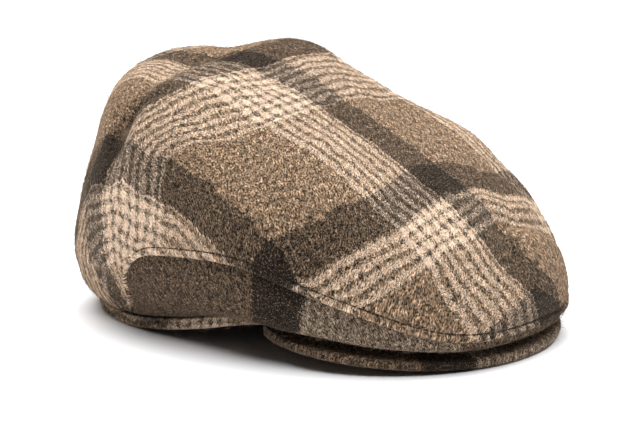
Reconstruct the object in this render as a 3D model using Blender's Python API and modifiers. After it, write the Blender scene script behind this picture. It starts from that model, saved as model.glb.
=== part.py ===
"""A soft flat cap in thick checked wool, resting on the back of its rim and the edge of its peak.

The cloth is one curved shell round the head opening, cut into its real pieces: the crown, which runs from
the back rim over the top to the front, the front band under it, the rim band along the head opening, and
the stiff peak. A place on the shell is an angle round the head (0 is the front, 90 the wearer's left) and a
step up the profile there, from the bottom of the rim (0) to the middle of the crown (TOP).
"""

import math
from collections import namedtuple

import bpy
import numpy as np
from mathutils import Vector

# Driving sizes, in metres. Plan sizes are from the middle of the head opening to the middle of the cloth.
HEAD_LENGTH = 0.196
HEAD_WIDTH = 0.156
CROWN_FRONT = 0.149
CROWN_SIDE = 0.096
CROWN_BACK = 0.100
CROWN_HEIGHT = 0.132
RIM_BAND_HEIGHT = 0.0065
RIM_BAND_THICKNESS = 0.0028
CLOTH_THICKNESS = 0.0022
PEAK_REACH = 0.0500
PEAK_THICKNESS = 0.0045
SEAM_GAP = 0.0010
ROOT_GAP = 0.0004
PEAK_EDGE_ROUNDING = 0.0014
FLOOR_PRESS = 0.0005
SEAM_CORNER_RADIUS = 0.020

# Driving angles, in degrees from the front.
BAND_END = 100.0
BAND_END_LEAN = 12.0
BAND_END_SPREAD = 25.0
PEAK_CORNER = 55.0
PEAK_CORNER_SHARE = 0.06

# How square an outline is: 2 is an ellipse.
HEAD_SQUARENESS = 2.0
FRONT_SQUARENESS = 2.4
BACK_SQUARENESS = 2.25

# One row for each section of the shell. A _z is a share of CROWN_HEIGHT. tuck_r is a share of the way from
# the rim out to the plan's outline, and the other _r are shares of the outline's own distance.
Section = namedtuple(
    "Section",
    "angle rim_z tuck_r tuck_z lip_r lip_z seam_r seam_z cheek_r cheek_z brow_r brow_z top_r top_z",
)
SECTIONS = (
    Section(0, 0.090, 0.40, 0.135, 0.98, 0.078, 1.00, 0.117, 0.96, 0.31, 0.75, 0.56, 0.37, 0.800),
    Section(20, 0.095, 0.40, 0.140, 0.98, 0.084, 1.00, 0.130, 0.96, 0.34, 0.76, 0.58, 0.38, 0.806),
    Section(40, 0.100, 0.40, 0.150, 0.98, 0.129, 1.00, 0.254, 0.97, 0.43, 0.78, 0.65, 0.40, 0.845),
    Section(60, 0.095, 0.34, 0.150, 0.98, 0.172, 1.00, 0.356, 0.96, 0.52, 0.77, 0.70, 0.42, 0.880),
    Section(80, 0.055, 0.20, 0.125, 0.94, 0.190, 1.01, 0.364, 0.96, 0.56, 0.79, 0.77, 0.45, 0.925),
    Section(100, 0.020, 0.20, 0.110, 0.92, 0.180, 1.01, 0.330, 0.95, 0.58, 0.79, 0.82, 0.46, 0.948),
    Section(120, 0.000, 0.40, 0.100, 0.95, 0.180, 0.99, 0.300, 0.92, 0.60, 0.77, 0.86, 0.46, 0.967),
    Section(150, 0.000, 0.60, 0.100, 0.98, 0.180, 0.98, 0.290, 0.88, 0.60, 0.73, 0.89, 0.45, 0.986),
    Section(180, 0.000, 0.60, 0.100, 1.00, 0.180, 1.00, 0.290, 0.90, 0.60, 0.72, 0.90, 0.45, 0.988),
)
MIDDLE_Z = 1.0
HEM_R = 0.1

# The steps up a profile, in order, and the step where the cloth's lower edge meets the rim band.
RIM, HEM, TUCK, LIP, SEAM, CHEEK, BROW, CROWN_TOP, TOP = range(9)
CLOTH_EDGE = 1.1

# The share of the way from the seam down to the lip that the seam has dropped at the band's ends.
SEAM_DROP = 0.9

# A row for each soft fold, a valley over the crown along a line in plan. An x and the reach to each side of
# the line are shares of CROWN_SIDE, a y is a share of CROWN_FRONT (back is positive), and the depths at the
# line's start and end are shares of CROWN_HEIGHT. A depth below 0 is a soft ridge.
Fold = namedtuple("Fold", "start_x start_y end_x end_y reach start_depth end_depth")
FOLDS = (
    Fold(-0.84, 0.22, -0.30, 0.15, 0.09, 0.035, 0.020),
    Fold(-0.30, 0.17, 0.22, 0.27, 0.20, 0.030, 0.054),
    Fold(0.10, 0.02, 0.28, 0.03, 0.18, -0.002, -0.020),
    Fold(0.50, 0.05, 0.64, -0.30, 0.20, 0.032, 0.020),
    Fold(0.20, -0.90, 0.62, -0.76, 0.08, 0.000, 0.018),
    Fold(0.16, -0.70, 0.70, -0.60, 0.09, 0.000, 0.014),
)
FOLD_CENTRE_Z = 0.4

# The check's average colour in the crown, the front band, the rim band and the peak, as linear red, green, blue.
CLOTH_COLOURS = ((0.19, 0.14, 0.10), (0.11, 0.09, 0.07), (0.16, 0.12, 0.09), (0.10, 0.08, 0.06))
CLOTH_ROUGHNESS = 0.95

# How finely the cloth is divided.
CROWN_ROWS = 20
CROWN_COLUMNS = 84
BAND_ROWS = 7
BAND_COLUMNS = 48
RIM_COLUMNS = 60
PEAK_ROWS = 6
PEAK_COLUMNS = 30
EDGE_SEGMENTS = 2
SEAM_SAMPLES = 401
END_SAMPLES = 31
RIM_SAMPLES = 161

# The short ways along the shell, in degrees and steps, that its slope is read over.
ANGLE_PROBE = 0.5
STEP_PROBE = 0.02


def between(xs, ys, x):
    """The value at x of a smooth curve through the points (xs, ys), with tangents from the neighbours."""
    i = min(max(int(np.searchsorted(xs, x)) - 1, 0), len(xs) - 2)
    span = xs[i + 1] - xs[i]

    def slope(k):
        low, high = max(k - 1, 0), min(k + 1, len(xs) - 1)
        return (ys[high] - ys[low]) / (xs[high] - xs[low])

    t = (x - xs[i]) / span
    rise = ys[i + 1] - ys[i]
    a, b = slope(i) * span - rise, rise - slope(i + 1) * span
    return ys[i] + t * rise + t * (1 - t) * ((1 - t) * a + t * b)


def mirrored_sections():
    """The sections for angles from below 0 to above 180, so that the table's ends have neighbours."""
    before = [s._replace(angle=-s.angle) for s in SECTIONS[2:0:-1]]
    after = [s._replace(angle=360 - s.angle) for s in SECTIONS[-2:-4:-1]]
    return (*before, *SECTIONS, *after)


ALL_SECTIONS = mirrored_sections()
SECTION_ANGLES = [s.angle for s in ALL_SECTIONS]


def section_at(angle):
    """The section at any angle, read smoothly between the table's rows."""
    angle = abs((angle + 180) % 360 - 180)
    columns = zip(*ALL_SECTIONS)
    return Section(*(between(SECTION_ANGLES, column, angle) for column in columns))


def plan_reach(angle, side, front, back, front_power, back_power):
    """The distance from the head's middle to a rounded outline, which is longer at one end."""
    across, along = abs(math.sin(math.radians(angle))), math.cos(math.radians(angle))
    end, power = (front, front_power) if along > 0 else (back, back_power)
    return ((across / side) ** power + (abs(along) / end) ** power) ** (-1 / power)


def head_reach(angle):
    half = HEAD_LENGTH / 2
    return plan_reach(angle, HEAD_WIDTH / 2, half, half, HEAD_SQUARENESS, HEAD_SQUARENESS)


def outline_reach(angle):
    return plan_reach(angle, CROWN_SIDE, CROWN_FRONT, CROWN_BACK, FRONT_SQUARENESS, BACK_SQUARENESS)


def profile(angle):
    """The (distance, height) points up the shell at this angle, one for each step and one past the middle."""
    s, head, outline = section_at(angle), head_reach(angle), outline_reach(angle)
    across, across_outline = section_at(angle + 180), outline_reach(angle + 180)
    tuck = head + s.tuck_r * (outline - head)
    rim_z = s.rim_z * CROWN_HEIGHT
    return (
        (head, rim_z),
        (head + HEM_R * (tuck - head), rim_z + RIM_BAND_HEIGHT),
        (tuck, s.tuck_z * CROWN_HEIGHT),
        (s.lip_r * outline, s.lip_z * CROWN_HEIGHT),
        (s.seam_r * outline, s.seam_z * CROWN_HEIGHT),
        (s.cheek_r * outline, s.cheek_z * CROWN_HEIGHT),
        (s.brow_r * outline, s.brow_z * CROWN_HEIGHT),
        (s.top_r * outline, s.top_z * CROWN_HEIGHT),
        (0.0, MIDDLE_Z * CROWN_HEIGHT),
        (-across.top_r * across_outline, across.top_z * CROWN_HEIGHT),
    )


def outward(angle):
    return Vector((math.sin(math.radians(angle)), -math.cos(math.radians(angle)), 0))


def smooth_step(points, step):
    """The (distance, height) at a step up the profile, on a smooth curve through its points."""
    i = min(int(step), TOP - 1)
    t = step - i
    p0, p1, p2, p3 = (Vector(points[max(k, 0)]) for k in range(i - 1, i + 3))
    d01, d12, d23 = ((b - a).length ** 0.5 or 1e-6 for a, b in ((p0, p1), (p1, p2), (p2, p3)))
    m1 = (p2 - p1) + d12 * ((p1 - p0) / d01 - (p2 - p0) / (d01 + d12)) if i else p2 - p1
    m2 = (p2 - p1) + d12 * ((p3 - p2) / d23 - (p3 - p1) / (d12 + d23))
    a, b = 2 * (p1 - p2) + m1 + m2, -3 * (p1 - p2) - 2 * m1 - m2
    return ((a * t + b) * t + m1) * t + p1


def fold_depth(place):
    """How far the folds push the crown in at this place."""
    depth = 0.0
    for fold in FOLDS:
        start = Vector((fold.start_x * CROWN_SIDE, fold.start_y * CROWN_FRONT))
        line = Vector((fold.end_x * CROWN_SIDE, fold.end_y * CROWN_FRONT)) - start
        share = min(max((place.xy - start).dot(line) / line.length_squared, 0), 1)
        away = (place.xy - start - line * share).length / (fold.reach * CROWN_SIDE)
        here = fold.start_depth + (fold.end_depth - fold.start_depth) * share
        depth += here * CROWN_HEIGHT * math.exp(-away * away)
    return depth


def leaning(angle, step):
    """The angle with the lean of the band's ends, which run back on their way down to the rim."""
    turn = (angle + 180) % 360 - 180
    nearness = math.exp(-(((abs(turn) - BAND_END) / BAND_END_SPREAD) ** 2))
    fall = max(SEAM - step, 0) / (SEAM - HEM)
    return angle + math.copysign(BAND_END_LEAN * nearness * fall, turn)


def shell_point(angle, step):
    """The middle of the cloth at an angle round the head and a step up the profile."""
    angle = leaning(angle, step)
    distance, height = smooth_step(profile(angle), step)
    place = outward(angle) * distance + Vector((0, 0, height))
    over_seam = min(max(step - SEAM, 0), 1)
    inside = Vector((0, 0, FOLD_CENTRE_Z * CROWN_HEIGHT))
    return place + (inside - place).normalized() * fold_depth(place) * over_seam


def seam_step(angle):
    """The step up the profile where the front band meets the crown: level, with a round corner at its ends."""
    corner = math.degrees(SEAM_CORNER_RADIUS / outline_reach(BAND_END))
    turn = (abs(angle) - (BAND_END - corner)) / corner
    drop = 1 - math.sqrt(max(1 - min(max(turn, 0), 1) ** 2, 0))
    return SEAM - drop * (SEAM - LIP) * SEAM_DROP


def beside(path, distance):
    """The path of (angle, step) pairs moved sideways over the cloth, up off the seam if distance is above 0."""
    places = [shell_point(*pair) for pair in path]
    moved = []
    for k, (angle, step) in enumerate(path):
        along = places[min(k + 1, len(path) - 1)] - places[max(k - 1, 0)]
        turned = shell_point(angle + ANGLE_PROBE, step) - shell_point(angle - ANGLE_PROBE, step)
        raised = shell_point(angle, step + STEP_PROBE) - shell_point(angle, step - STEP_PROBE)
        per_degree, per_step = turned / (2 * ANGLE_PROBE), raised / (2 * STEP_PROBE)
        side = per_degree.cross(per_step).cross(along).normalized() * distance
        moved.append((angle + side.dot(per_degree) / per_degree.length_squared,
                      step + side.dot(per_step) / per_step.length_squared))
    return moved


def evenly(path, count):
    """The path's (angle, step) pairs at count places that are evenly spaced along the cloth."""
    places = [shell_point(*pair) for pair in path]
    lengths = [0.0]
    for a, b in zip(places, places[1:]):
        lengths.append(lengths[-1] + (b - a).length)
    angles, steps = zip(*path)
    wanted = np.linspace(0, lengths[-1], count)
    return [(float(np.interp(w, lengths, angles)), float(np.interp(w, lengths, steps))) for w in wanted]


def seam_path():
    """The seam's (angle, step) pairs from the right end of the front band round the front to its left end."""
    return [(float(a), seam_step(a)) for a in np.linspace(-BAND_END, BAND_END, SEAM_SAMPLES)]


def crown_edge():
    """The crown's edge from the band's right end round the front, down the left end and round the back rim."""
    seam = beside(seam_path(), SEAM_GAP / 2)
    start, end = seam[0][0], seam[-1][0]
    left = [(end, float(s)) for s in np.linspace(seam[-1][1], CLOTH_EDGE, END_SAMPLES)[1:]]
    back = [(float(a), CLOTH_EDGE) for a in np.linspace(end, start + 360, RIM_SAMPLES)[1:]]
    right = [(start + 360, float(s)) for s in np.linspace(CLOTH_EDGE, seam[0][1], END_SAMPLES)[1:]]
    return seam + left + back + right


def add_mesh(name, points, faces):
    """A mesh in the cap's own frame: the middle of its length at 0 and its lowest edge pressed on the floor."""
    move = Vector((0, (CROWN_FRONT - CROWN_BACK) / 2, -FLOOR_PRESS))
    mesh = bpy.data.meshes.new(name)
    mesh.from_pydata([tuple(point + move) for point in points], [], faces)
    mesh.update()
    thing = bpy.data.objects.new(name, mesh)
    bpy.context.scene.collection.objects.link(thing)
    return thing


def grid_faces(rows, columns, closed):
    """Quads over rows of points, each row columns long, and joined round if closed."""
    faces = []
    for i in range(rows - 1):
        for j in range(columns if closed else columns - 1):
            k = (j + 1) % columns
            faces.append((i * columns + j, i * columns + k, (i + 1) * columns + k, (i + 1) * columns + j))
    return faces


def thicken(thing, thickness):
    """Gives the open sheet its thickness, half to each side."""
    solidify = thing.modifiers.new("thickness", "SOLIDIFY")
    solidify.thickness = thickness
    solidify.offset = 0
    solidify.use_even_offset = True


def rest_on(thing, floor):
    """Cuts the piece flat where it is pressed against the floor."""
    cut = thing.modifiers.new("rest", "BOOLEAN")
    cut.operation = "DIFFERENCE"
    cut.solver = "EXACT"
    cut.object = floor


def add_crown(floor):
    edge = evenly(crown_edge(), CROWN_COLUMNS + 1)[:-1]
    points = []
    for i in range(CROWN_ROWS):
        share = i / CROWN_ROWS
        for j, (angle, step) in enumerate(edge):
            even = edge[0][0] + 360 * j / CROWN_COLUMNS
            turned = angle + (even - angle) * share
            points.append(shell_point(turned, step + (TOP - step) * share))
    faces = grid_faces(CROWN_ROWS, CROWN_COLUMNS, closed=True)
    middle = len(points)
    points.append(shell_point(0, TOP))
    last = middle - CROWN_COLUMNS
    faces += [(last + j, last + (j + 1) % CROWN_COLUMNS, middle) for j in range(CROWN_COLUMNS)]
    crown = add_mesh("crown", points, faces)
    thicken(crown, CLOTH_THICKNESS)
    rest_on(crown, floor)
    return crown


def add_front_band():
    edge = evenly(beside(seam_path(), -SEAM_GAP / 2), BAND_COLUMNS)
    points = []
    for i in range(BAND_ROWS):
        share = i / (BAND_ROWS - 1)
        points += [shell_point(angle, CLOTH_EDGE + (high - CLOTH_EDGE) * share) for angle, high in edge]
    band = add_mesh("front_band", points, grid_faces(BAND_ROWS, BAND_COLUMNS, closed=False))
    thicken(band, CLOTH_THICKNESS)
    return band


def add_rim_band(floor):
    points = []
    for height in (0, RIM_BAND_HEIGHT - SEAM_GAP):
        for j in range(RIM_COLUMNS):
            points.append(shell_point(360 * j / RIM_COLUMNS, RIM) + Vector((0, 0, height)))
    rim = add_mesh("rim_band", points, grid_faces(2, RIM_COLUMNS, closed=True))
    thicken(rim, RIM_BAND_THICKNESS)
    rest_on(rim, floor)
    return rim


def peak_point(angle, share):
    """The middle of the peak at an angle, a share of the way from its root out to its edge."""
    turn = abs(angle) / PEAK_CORNER
    reach = PEAK_REACH * (PEAK_CORNER_SHARE + (1 - PEAK_CORNER_SHARE) * math.sqrt(1 - turn * turn))
    root = shell_point(angle, RIM)
    edge_height = PEAK_THICKNESS / 2 + (root.z - PEAK_THICKNESS / 2) * turn * turn
    tilt = math.atan2(root.z - edge_height, reach)
    clear = RIM_BAND_THICKNESS / 2 + ROOT_GAP + PEAK_THICKNESS / 2 * math.sin(tilt)
    place = root + outward(angle) * (clear + reach * share)
    place.z = root.z + (edge_height - root.z) * share
    return place


def add_peak(floor):
    points = []
    for i in range(PEAK_ROWS):
        for j in range(PEAK_COLUMNS):
            angle = PEAK_CORNER * (2 * j / (PEAK_COLUMNS - 1) - 1)
            points.append(peak_point(angle, i / (PEAK_ROWS - 1)))
    peak = add_mesh("peak", points, grid_faces(PEAK_ROWS, PEAK_COLUMNS, closed=False))
    thicken(peak, PEAK_THICKNESS)
    rounding = peak.modifiers.new("rounding", "BEVEL")
    rounding.width = PEAK_EDGE_ROUNDING
    rounding.segments = EDGE_SEGMENTS
    rounding.limit_method = "ANGLE"
    rounding.angle_limit = math.radians(60)
    rest_on(peak, floor)
    return peak


def add_floor():
    bpy.ops.mesh.primitive_cube_add(size=1, location=(0, 0, -0.5))
    floor = bpy.context.object
    floor.name = "floor_cutter"
    floor.hide_render = True
    floor.display_type = "WIRE"
    return floor


def add_material(name, colour):
    material = bpy.data.materials.new(name)
    material.use_nodes = True
    shader = material.node_tree.nodes["Principled BSDF"]
    shader.inputs["Base Color"].default_value = (*colour, 1)
    shader.inputs["Roughness"].default_value = CLOTH_ROUGHNESS
    shader.inputs["Metallic"].default_value = 0.0
    return material


def add_collection(name, things):
    collection = bpy.data.collections.new(name)
    bpy.context.scene.collection.children.link(collection)
    for thing in things:
        for old in thing.users_collection:
            old.objects.unlink(thing)
        collection.objects.link(thing)


def main():
    for thing in list(bpy.data.objects):
        bpy.data.objects.remove(thing)
    floor = add_floor()
    pieces = (add_crown(floor), add_front_band(), add_rim_band(floor), add_peak(floor))
    for piece, colour in zip(pieces, CLOTH_COLOURS):
        piece.data.materials.append(add_material(piece.name + "_wool", colour))
        piece.data.shade_smooth()
    add_collection("flat_cap", pieces)
    add_collection("cutters", [floor])


main()
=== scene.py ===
"""The flat cap as the photo shows it: thick checked wool with its seams, stitches, soft folds and nap."""

import math
from collections import namedtuple

import bpy
import numpy as np
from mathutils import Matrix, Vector, noise


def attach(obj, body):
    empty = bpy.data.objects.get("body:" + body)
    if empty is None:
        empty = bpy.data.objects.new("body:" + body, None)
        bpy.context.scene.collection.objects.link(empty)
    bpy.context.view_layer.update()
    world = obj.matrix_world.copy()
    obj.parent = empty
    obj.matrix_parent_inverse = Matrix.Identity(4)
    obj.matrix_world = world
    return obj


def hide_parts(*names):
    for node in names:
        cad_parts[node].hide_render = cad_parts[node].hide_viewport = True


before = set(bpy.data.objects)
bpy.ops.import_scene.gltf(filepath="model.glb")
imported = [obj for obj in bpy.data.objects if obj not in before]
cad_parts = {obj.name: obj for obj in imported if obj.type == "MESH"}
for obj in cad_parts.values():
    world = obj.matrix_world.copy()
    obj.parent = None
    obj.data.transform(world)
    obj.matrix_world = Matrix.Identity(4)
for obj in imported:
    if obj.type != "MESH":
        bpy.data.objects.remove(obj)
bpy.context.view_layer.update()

# The cap's sizes, in metres. Plan sizes are from the middle of the head opening to the middle of the cloth.
HEAD_LENGTH = 0.196
HEAD_WIDTH = 0.156
CROWN_FRONT = 0.149
CROWN_SIDE = 0.096
CROWN_BACK = 0.100
CROWN_HEIGHT = 0.132
RIM_BAND_HEIGHT = 0.0065
RIM_BAND_THICKNESS = 0.0028
CLOTH_THICKNESS = 0.0022
PEAK_REACH = 0.0500
PEAK_THICKNESS = 0.0045
ROOT_GAP = 0.0004
FLOOR_PRESS = 0.0005
SEAM_CORNER_RADIUS = 0.020

# How far the sewn edges stay apart, and how high the cloth's edges clear the floor.
SEAM_GAP = 0.0004
FLOOR_GAP = 0.0002

# From the middle of the head opening to the part's own origin, in metres.
MOVE = np.array((0, (CROWN_FRONT - CROWN_BACK) / 2, -FLOOR_PRESS))

# The lapped seam: how far the crown's edge covers the band, how far it is lifted off it, how far the band is
# sunk under it, and the reach of both.
LAP = 0.0014
LAP_LIFT = 0.0013
LAP_SINK = 0.0013
LAP_REACH = 0.0045

# Angles, in degrees from the front.
BAND_END = 100.0
BAND_END_LEAN = 12.0
BAND_END_SPREAD = 25.0
PEAK_CORNER = 55.0
PEAK_CORNER_SHARE = 0.06

# How square an outline is: 2 is an ellipse.
HEAD_SQUARENESS = 2.0
FRONT_SQUARENESS = 2.4
BACK_SQUARENESS = 2.25

# One row for each section of the shell. A _z is a share of CROWN_HEIGHT. tuck_r is a share of the way from
# the rim out to the plan's outline, and the other _r are shares of the outline's own distance.
Section = namedtuple(
    "Section",
    "angle rim_z tuck_r tuck_z lip_r lip_z seam_r seam_z cheek_r cheek_z brow_r brow_z top_r top_z",
)
SECTIONS = (
    Section(0, 0.090, 0.40, 0.135, 0.98, 0.078, 1.00, 0.117, 0.96, 0.31, 0.75, 0.56, 0.37, 0.800),
    Section(20, 0.095, 0.40, 0.140, 0.98, 0.084, 1.00, 0.130, 0.96, 0.34, 0.76, 0.58, 0.38, 0.806),
    Section(40, 0.100, 0.40, 0.150, 0.98, 0.129, 1.00, 0.254, 0.97, 0.43, 0.78, 0.65, 0.40, 0.845),
    Section(60, 0.095, 0.34, 0.150, 0.98, 0.172, 1.00, 0.356, 0.96, 0.52, 0.77, 0.70, 0.42, 0.880),
    Section(80, 0.055, 0.20, 0.125, 0.94, 0.190, 1.01, 0.364, 0.96, 0.56, 0.79, 0.77, 0.45, 0.925),
    Section(100, 0.020, 0.20, 0.110, 0.92, 0.180, 1.01, 0.330, 0.95, 0.58, 0.79, 0.82, 0.46, 0.948),
    Section(120, 0.000, 0.40, 0.100, 0.95, 0.180, 0.99, 0.300, 0.92, 0.60, 0.77, 0.86, 0.46, 0.967),
    Section(150, 0.000, 0.60, 0.100, 0.98, 0.180, 0.98, 0.290, 0.88, 0.60, 0.73, 0.89, 0.45, 0.986),
    Section(180, 0.000, 0.60, 0.100, 1.00, 0.180, 1.00, 0.290, 0.90, 0.60, 0.72, 0.90, 0.45, 0.988),
)
MIDDLE_Z = 1.0
HEM_R = 0.1

# The steps up a profile, in order, and the step where the cloth's lower edge meets the rim band.
RIM, HEM, TUCK, LIP, SEAM, CHEEK, BROW, CROWN_TOP, TOP = range(9)
CLOTH_EDGE = 1.1
SEAM_DROP = 0.9

# A row for each soft fold, a valley over the crown along a line in plan. An x and the reach to each side of
# the line are shares of CROWN_SIDE, a y is a share of CROWN_FRONT (back is positive), and the depths at the
# line's start and end are shares of CROWN_HEIGHT. A depth below 0 is a soft ridge.
Fold = namedtuple("Fold", "start_x start_y end_x end_y reach start_depth end_depth")
FOLDS = (
    Fold(-0.84, 0.22, -0.30, 0.15, 0.09, 0.035, 0.020),
    Fold(-0.30, 0.17, 0.22, 0.27, 0.20, 0.030, 0.054),
    Fold(0.10, 0.02, 0.28, 0.03, 0.18, -0.002, -0.020),
    Fold(0.50, 0.05, 0.64, -0.30, 0.20, 0.032, 0.020),
    Fold(0.20, -0.90, 0.62, -0.76, 0.08, 0.000, 0.018),
    Fold(0.16, -0.70, 0.70, -0.60, 0.09, 0.000, 0.014),
)
FOLD_CENTRE_Z = 0.4

# A row for each sharp crease pressed into the crown's cloth, along a line in plan. Its places and reach are
# shares as in the folds, and its depth is in metres. A depth below 0 is a ridge.
Crease = namedtuple("Crease", "start_x start_y end_x end_y reach depth")
CREASES = (
    Crease(-0.77, 0.25, -0.69, 0.11, 0.026, 0.0036),
    Crease(0.00, -0.875, 0.56, -0.86, 0.050, 0.0030),
    Crease(0.02, -0.915, 0.50, -0.905, 0.030, -0.0014),
    Crease(0.25, -0.70, 0.62, -0.70, 0.040, 0.0022),
)

# How finely each piece is divided, and the samples that its edges are read from.
CROWN_ROWS, CROWN_COLUMNS = 84, 420
BAND_ROWS, BAND_COLUMNS = 44, 320
RIM_ROWS, RIM_COLUMNS = 12, 360
PEAK_ROWS, PEAK_COLUMNS = 40, 150
EDGE_SAMPLES = 2400

# How the rows are spread: the evenly spaced share of them between two edges, and from one edge, where a power
# bunches the others. The cloth's unevenness fades out over the last rows, at this rate.
BOTH_EVEN = 0.4
ONE_EVEN = 0.25
ONE_BUNCHING = 1.8
MIDDLE_FADE = 8

# The short ways that slopes over the shell are read across, in degrees and in steps up the profile, and the
# distance, in metres, below which the corners at a cloth's edge are joined.
ANGLE_PROBE = 0.5
STEP_PROBE = 0.02
WELD_DISTANCE = 1e-6

# The seam's shape, in metres: the puffed welt between the seam and the topstitching, and the stitched groove.
WELT_WIDTH = 0.0036
WELT_HEIGHT = 0.0007
GROOVE_WIDTH = 0.0007
GROOVE_DEPTH = 0.0009
PUFF_REACH = 0.008
PUFF_HEIGHT = 0.0005
PUCKER_LENGTH = 0.007
PUCKER_HEIGHT = 0.0005

# The topstitching, in metres, with the short way that its direction is read across and the width to each side
# of it that has no nap.
STITCH_LENGTH = 0.0027
STITCH_GAP = 0.0007
STITCH_RADIUS = 0.00028
STITCH_PROBE = 0.0001
BARE_WIDTH = 0.0014

# A stitch's shape: its rings and sides, how far its ends are drawn in, and the share of its radius that is
# sunk. A seam is stitched where it laps by more than the last share.
STITCH_RINGS = 6
STITCH_SIDES = 6
STITCH_END = 0.08
STITCH_SINK = 0.6
STITCHED_LAP = 0.02

# The soft unevenness of the worn cloth: a row for each size of it.
Unevenness = namedtuple("Unevenness", "length height")
UNEVENNESS = (
    Unevenness(0.050, 0.0012),
    Unevenness(0.020, 0.0005),
    Unevenness(0.007, 0.00015),
)

# The check, with one thread's width in metres. The cream and brown threads lie in turns: the first of each
# period are pale. A row for each stripe, in threads: dark, tooth (cream and brown), brown or fawn.
THREAD = 0.00042
TOOTH_PERIOD = 14
TOOTH_CREAM = 8
DARK_THREADS = 48
Stripe = namedtuple("Stripe", "kind threads")
ACROSS = (Stripe("dark", DARK_THREADS), Stripe("tooth", 88), Stripe("brown", 104))
ALONG = (
    Stripe("dark", DARK_THREADS),
    Stripe("tooth", 96),
    Stripe("brown", 140),
    Stripe("dark", DARK_THREADS),
    Stripe("tooth", 56),
    Stripe("brown", 92),
)
BEND_MARKS = (0, 284, 336)
BAND_ACROSS = (Stripe("brown", 220), Stripe("dark", 60), Stripe("fawn", 182))
BAND_DOWN = (Stripe("dark", 160),)

# How far the threads wander off their lines, in metres: slowly everywhere, and at a stripe's frayed edge,
# which is neat or blurred.
DRIFT = 0.0070
NEAT = 0.0044
BLURRED = 0.0130

# A row for each piece's wool: where its check starts, in metres, its stripes across and along, how frayed
# they are, and how light the cloth and its nap are.
HALF_DARK = DARK_THREADS / 2 * THREAD
Wool = namedtuple("Wool", "piece start stripes fray tone nap_tone")
CROWN_WOOL = Wool("crown", (HALF_DARK, HALF_DARK), (ACROSS, ALONG), NEAT, 1.0, 1.2)
BAND_WOOL = Wool("band", (0, 0), (BAND_ACROSS, BAND_DOWN), BLURRED, 1.0, 1.2)
RIM_WOOL = Wool("rim", (0.01, 0.025), (ACROSS, ALONG), NEAT, 0.9, 1.2)
# The peak's wool and nap are lighter copies of the band's same wool: painted light, standing in for the light
# that the peak's edge catches.
PEAK_WOOL = Wool("peak", (0, 0), (BAND_ACROSS, BAND_DOWN), BLURRED, 1.15, 1.5)
WOOLS = (CROWN_WOOL, BAND_WOOL, RIM_WOOL, PEAK_WOOL)

# Wool colours as linear red, green and blue.
CREAM = (0.79, 0.60, 0.445)
TOOTH_BROWN = (0.105, 0.070, 0.045)
PALE_BROWN = (0.27, 0.182, 0.116)
DEEP_BROWN = (0.175, 0.114, 0.069)
DARK = (0.014, 0.009, 0.006)
FAWN = (0.74, 0.57, 0.42)
FLECK = (0.42, 0.32, 0.22)
SHEEN = (0.80, 0.64, 0.48)

# The sewing thread's dark colour, and how many times lighter its twist is.
THREAD_COLOUR = (0.008, 0.006, 0.004)
THREAD_TWIST = 4

# How the wool is mixed: a thread below the limit is dark and shows through its crossings by a share, and each
# thread takes a share of its stripes' average colour.
DARK_LIMIT = 0.02
DARK_COVER = 0.45
FELTED = 0.15

# A row for each noise in the wool: features to a metre, detail, and what it gives, which is gain times the
# noise plus base, and no less than least. Fibres and specks are stretched along the twill's wale.
Grain = namedtuple("Grain", "scale detail gain base least", defaults=(1.0, 0.0, 0.0))
DRIFTS = Grain(90, 3)
FRAYS = Grain(900, 4)
FLECKS = Grain(1300, 2, 3.0, -1.65, 0.0)
FIBRES = Grain(1700, 3, 10.0, -4.0, 0.15)
SPECKS = Grain(620, 2, 4.0, -1.0, 0.2)
WEAR = Grain(28, 3, 0.5, 0.75, 0.0)
WALE_DEGREES = 56
WALE_STRETCH = 2.2

# How much lighter or darker single threads are, and how much the grain shows, which is less in pale wool.
LONE_GAIN = 0.16
LONE_BASE = 0.92
PALE_GRAIN = -1.8
DARK_GRAIN = 1.3

# The wool's small relief: the parts of threads, fibres and specks in it, its strength and height in metres.
THREAD_RELIEF = 1.2
FIBRE_RELIEF = 1.4
SPECK_RELIEF = 1.6
BUMP_STRENGTH = 0.4
BUMP_HEIGHT = 0.0006

# Where the middles of the crown's stripes run on the flattened cloth, in metres: the two dark ones along the
# cap, and the two dark ones across it with the cream one in front of them. Wear has pulled them askew.
Run = namedtuple("Run", "along far near")
RUNS = (
    Run(-0.190, 0.014, -0.108),
    Run(-0.170, -0.004, -0.108),
    Run(-0.150, -0.007, -0.108),
    Run(-0.115, -0.014, -0.110),
    Run(-0.080, -0.015, -0.111),
    Run(-0.035, -0.020, -0.110),
    Run(-0.012, -0.026, -0.101),
    Run(0.010, -0.031, -0.091),
    Run(0.060, -0.034, -0.086),
)
Bend = namedtuple("Bend", "across back middle front")
BENDS = (
    Bend(-0.131, -0.003, -0.117, -0.140),
    Bend(-0.113, 0.005, -0.118, -0.141),
    Bend(-0.096, 0.011, -0.127, -0.147),
    Bend(-0.080, 0.001, -0.130, -0.149),
    Bend(-0.055, 0.000, -0.128, -0.148),
    Bend(-0.030, -0.006, -0.119, -0.142),
    Bend(-0.014, -0.005, -0.115, -0.139),
    Bend(0.004, -0.004, -0.120, -0.135),
    Bend(0.020, -0.003, -0.128, -0.144),
    Bend(0.060, -0.003, -0.134, -0.150),
)

# The bow of the stripes across: how fast it grows with the square of the distance, and where it stops.
CLOTH_BOW = 4.2
BOW_REACH = 0.1

# The nap: fibres a square metre, and each fibre's length, width, curl and sunk root, in metres.
NAP_DENSITY = 340000
NAP_LENGTH = 0.0034
NAP_WIDTH = 0.00018
NAP_CURL = 0.0008
NAP_ROOT = 0.0001
NAP_SEGMENTS = 2
NAP_SEED = 7

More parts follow.
